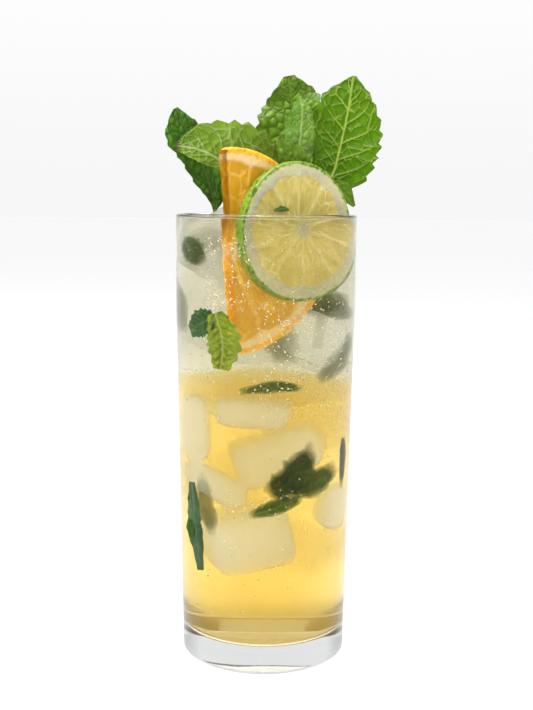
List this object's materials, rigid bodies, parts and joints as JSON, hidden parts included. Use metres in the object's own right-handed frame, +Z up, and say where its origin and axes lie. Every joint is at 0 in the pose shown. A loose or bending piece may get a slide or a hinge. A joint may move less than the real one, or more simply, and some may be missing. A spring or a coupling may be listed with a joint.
{
  "type": "glass of iced mojito",
  "caption": "Tall straight glass of cloudy golden iced mojito with bubbles, a lime wheel, half an orange slice and mint leaves standing out of the rim.",
  "frame": {"origin": "centre of the glass's flat underside", "axes": "+Z up along the glass's axis, -Y towards the pictured front, +X to the right of the picture"},
  "size_m": [0.0781, 0.0644, 0.2097],
  "materials": {
    "clear_glass": "clear, polished",
    "mojito": "cloudy golden liquid, wet",
    "ice": "cloudy wet ice",
    "lime_fruit": "moist cut fruit, green rind",
    "orange_fruit": "moist cut fruit, orange rind",
    "mint_green": "fresh leaf, satin",
    "mint_pale": "fresh leaf, satin",
    "mint_stalk": "fresh stalk, satin"
  },
  "bodies": {
    "root": {"glass": "clear_glass", "drink": "mojito", "lime_wheel": "lime_fruit", "orange_slice": "orange_fruit", "ice_cube_top": "ice", "mint_stem": "mint_stalk", "mint_leaf_left_back": "mint_green", "mint_leaf_centre_back": "mint_green", "mint_leaf_right": "mint_green", "mint_leaf_left_front": "mint_pale", "mint_leaf_centre_front": "mint_pale", "mint_leaf_low_right": "mint_pale", "mint_leaf_young_left": "mint_green", "mint_leaf_young_right": "mint_green", "mint_scrap_rim": "mint_green", "mint_scrap_side": "mint_green"}
  },
  "joints": []
}
